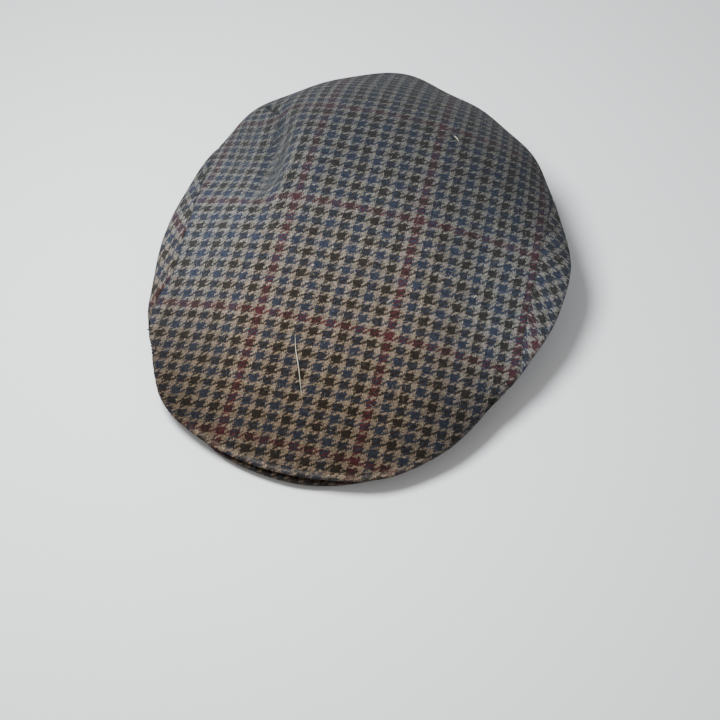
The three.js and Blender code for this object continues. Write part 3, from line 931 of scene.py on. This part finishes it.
length = setting(bpy.props.FloatProperty, unit="LENGTH")
amount = setting(bpy.props.FloatProperty)
turn = setting(bpy.props.FloatProperty, subtype="ANGLE")
count = setting(bpy.props.IntProperty, min=3)
spot = setting(bpy.props.FloatVectorProperty, subtype="TRANSLATION", unit="LENGTH", size=3)
dye = setting(bpy.props.FloatVectorProperty, subtype="COLOR", size=3, min=0.0, max=1.0)


class CapSettings(bpy.types.PropertyGroup):
    """Sizes of the sewn pieces."""

    cloth_thick: length("Cloth thickness", "Outer cloth with its backing", 0.002)
    hem_thick: length("Hem thickness", "Turned-up edge that the cap stands on", 0.003)
    seam_depth: amount("Seam depth", "How far the cloth dives at a seam, in mm", 0.35)
    seam_swell: amount("Seam swell", "How far the cloth rises beside a seam, in mm", 0.15)
    side_grain: turn("Side grain", "Turn of the check on the side panels", math.radians(46.0))
    # A painted highlight along the crest of the front fold.
    fold_highlight: amount("Worn fold", "How far rubbing has bleached the front fold", 1.4)
    # Painted shade towards the peak's edge, which lies under the crown's overhang.
    peak_edge_shade: amount("Edge soil", "How far hands have darkened the peak's edge", 0.48)
    top_columns: count("Top columns", "Points round the top", 400)
    top_rows: count("Top rows", "Points from the hub to the edge", 100)
    side_columns: count("Side columns", "Points along a side", 170)
    side_rows: count("Side rows", "Points down a side", 48)
    short_fibres: count("Short fibres", "Loose fibres on the crown", 600)
    peak_columns: count("Peak columns", "Points along the peak", 181)


class ClothSettings(bpy.types.PropertyGroup):
    """Threads and dyes of the tweed. Places and pitches are in millimetres of cloth."""

    warp_pitch: amount("Warp pitch", "From thread to thread across", 0.988)
    weft_pitch: amount("Weft pitch", "From thread to thread along", 0.746)
    first_across: amount("First warp", "Edge of a burgundy stripe", 29.6)
    first_along: amount("First weft", "Edge of a burgundy bar", -56.9)
    twill_step: amount("Twill step", "Where the twill starts", 2.0)
    wander: amount("Wander", "Unevenness of the threads, in mm", 1.3)
    fray: amount("Fray", "How far loose fibres cross into the next colour, in mm", 2.3)
    warp_spread: amount("Warp spread", "Swell of coloured warp over light, in threads", 0.40)
    weft_spread: amount("Weft spread", "Swell of coloured weft over light, in threads", 0.55)
    softness: amount("Softness", "How far a crossing's threads felt into one tone", 0.12)
    thread_tone: amount("Thread tone", "Spread of tone between threads", 0.3)
    float_tone: amount("Float tone", "Spread of tone between crossings", 0.7)
    fibre_tone: amount("Fibre tone", "Spread of tone between fibres", 1.6)
    hollow_shade: amount("Hollow shade", "Dark between the threads", 0.6)
    melange: amount("Melange", "How far fibres of other dyes are spun in", 0.5)
    nap: amount("Nap", "How much loose wool lies over the weave", 0.9)
    sheen: amount("Sheen", "Light caught by the nap", 0.08)
    relief: length("Relief", "Height of the threads", 0.0004)
    ground: dye("Ground", "Light threads", (0.226, 0.193, 0.160))
    blue: dye("Blue", "First coloured threads", (0.017, 0.024, 0.047))
    brown: dye("Brown", "Second coloured threads", (0.014, 0.010, 0.005))
    burgundy: dye("Burgundy", "Threads of the large check", (0.060, 0.008, 0.014))
    felting: amount("Felting", "How far the back has felted together", 0.16)
    felt: dye("Felt", "All the dyes carded together", (0.066, 0.066, 0.070))
    nap_colour: dye("Nap colour", "Wool brushed up in the folds", (0.092, 0.090, 0.088))
    # Tints at the back and in front: fading and soil from hands, and also painted cool and warm light.
    fading_and_cool_light: dye("Faded", "Tint at the back, where light has bleached it", (0.84, 0.93, 1.0))
    soil_and_warm_light: dye("Soiled", "Tint towards the peak, browned by hands", (1.0, 0.84, 0.66))
    fibre: dye("Fibre", "Loose undyed fibres", (0.62, 0.56, 0.44))
    satin: dye("Lining", "Satin inside", (0.020, 0.017, 0.016))


class StageSettings(bpy.types.PropertyGroup):
    """Camera, floor and lights."""

    azimuth: turn("Azimuth", "Camera round from the front", math.radians(14.0))
    elevation: turn("Elevation", "Camera above the floor", math.radians(58.0))
    distance: length("Distance", "Camera to its aim", 0.690)
    aim: spot("Aim", "Where the camera looks", (0.01696, -0.07656, 0.050))
    lens: amount("Lens", "Focal length in mm on a 36 mm sensor", 64.8)
    floor_colour: dye("Floor colour", "Pale paint", (0.88, 0.88, 0.88))
    key_power: amount("Key power", "Soft light from the upper left, in watts", 6.4)
    fill_power: amount("Fill power", "Soft warm light from the front, in watts", 1.2)
    sky: amount("Sky", "Even light from all round", 0.45)


# --- Operators ---


def finishes(context):
    """The one cloth that every panel is cut from, and its lining."""
    look = context.scene.flat_cap_cloth
    return [
        bpy.data.materials.get("check_tweed") or tweed(look),
        bpy.data.materials.get("satin_lining") or lining(look),
    ]


class CapTop(bpy.types.Operator):
    """Make the top panel, which runs forward over the peak"""

    bl_idname = "flat_cap.top"
    bl_label = "Top Panel"

    def execute(self, context):
        make_top(context.scene.flat_cap, finishes(context))
        return {"FINISHED"}


class CapSides(bpy.types.Operator):
    """Make both side panels, which meet at the centre back"""

    bl_idname = "flat_cap.sides"
    bl_label = "Side Panels"

    def execute(self, context):
        for side in (1, -1):
            make_side(context.scene.flat_cap, finishes(context), side)
        return {"FINISHED"}


class CapPeak(bpy.types.Operator):
    """Make the peak, a board wrapped in the same cloth"""

    bl_idname = "flat_cap.peak"
    bl_label = "Peak"

    def execute(self, context):
        make_peak(context.scene.flat_cap, finishes(context))
        return {"FINISHED"}


class CapFibres(bpy.types.Operator):
    """Lay the loose fibres on the crown"""

    bl_idname = "flat_cap.fibres"
    bl_label = "Loose Fibres"

    def execute(self, context):
        make_fibres(context.scene.flat_cap, wool(context.scene.flat_cap_cloth))
        return {"FINISHED"}


def look_from(made, place, way):
    """Puts a camera or light in its place and turns it to look along a way."""
    made.location = place
    made.rotation_mode = "QUATERNION"
    made.rotation_quaternion = way.to_track_quat("-Z", "Y")


class CapStage(bpy.types.Operator):
    """Make the camera, the pale floor and the soft lights"""

    bl_idname = "flat_cap.stage"
    bl_label = "Stage"

    def execute(self, context):
        stage = context.scene.flat_cap_stage
        level = math.cos(stage.elevation)
        across, along = math.sin(stage.azimuth) * level, -math.cos(stage.azimuth) * level
        away = Vector((across, along, math.sin(stage.elevation)))
        camera = link("camera", bpy.data.cameras.new("camera"))
        camera.data.lens = stage.lens
        camera.data.sensor_width = 36.0
        look_from(camera, Vector(stage.aim) + away * stage.distance, -away)
        context.scene.camera = camera

        mesh = bpy.data.meshes.new("floor")
        mesh.from_pydata([(-4, -4, 0), (4, -4, 0), (4, 4, 0), (-4, 4, 0)], [], [(0, 1, 2, 3)])
        mesh.materials.append(floor_finish(stage))
        floor = link("floor", mesh)

        for name, place, size, power, tint in (
            ("key", (-0.17, -0.06, 0.54), 0.22, stage.key_power, (0.95, 0.98, 1.0)),
            ("fill", (-0.35, -1.15, 0.65), 0.8, stage.fill_power, (1.0, 0.88, 0.72)),
        ):
            light = link(name, bpy.data.lights.new(name, "AREA"))
            light.data.shape, light.data.size = "DISK", size
            light.data.energy, light.data.color = power, tint
            look_from(light, place, Vector((0, 0, 0.04)) - Vector(place))

        world = bpy.data.worlds.new("studio")
        world.use_nodes = True
        sky = world.node_tree.nodes["Background"].inputs
        sky["Color"].default_value = (0.95, 0.97, 1.0, 1.0)
        sky["Strength"].default_value = stage.sky
        context.scene.world = world
        return {"FINISHED"}


class FlatCapPanel(bpy.types.Panel):
    """Lists the pieces and their settings"""

    bl_idname = "VIEW3D_PT_flat_cap"
    bl_label = "Flat Cap"
    bl_space_type = "VIEW_3D"
    bl_region_type = "UI"
    bl_category = "Flat Cap"

    def draw(self, context):
        for operator in OPERATORS:
            self.layout.operator(operator.bl_idname)
        for name in GROUPS:
            box, group = self.layout.box(), getattr(context.scene, name)
            for key in group.__annotations__:
                box.prop(group, key)


GROUPS = {"flat_cap": CapSettings, "flat_cap_cloth": ClothSettings, "flat_cap_stage": StageSettings}
OPERATORS = (CapStage, CapTop, CapSides, CapPeak, CapFibres)
CLASSES = (*GROUPS.values(), *OPERATORS, FlatCapPanel)


def register():
    for cls in CLASSES:
        bpy.utils.register_class(cls)
    for name, group in GROUPS.items():
        setattr(bpy.types.Scene, name, bpy.props.PointerProperty(type=group))


def unregister():
    for name in GROUPS:
        delattr(bpy.types.Scene, name)
    for cls in reversed(CLASSES):
        bpy.utils.unregister_class(cls)


def main():
    register()
    bpy.ops.flat_cap.stage()
    bpy.ops.flat_cap.top()
    bpy.ops.flat_cap.sides()
    bpy.ops.flat_cap.peak()
    bpy.ops.flat_cap.fibres()


if __name__ == "__main__":
    main()
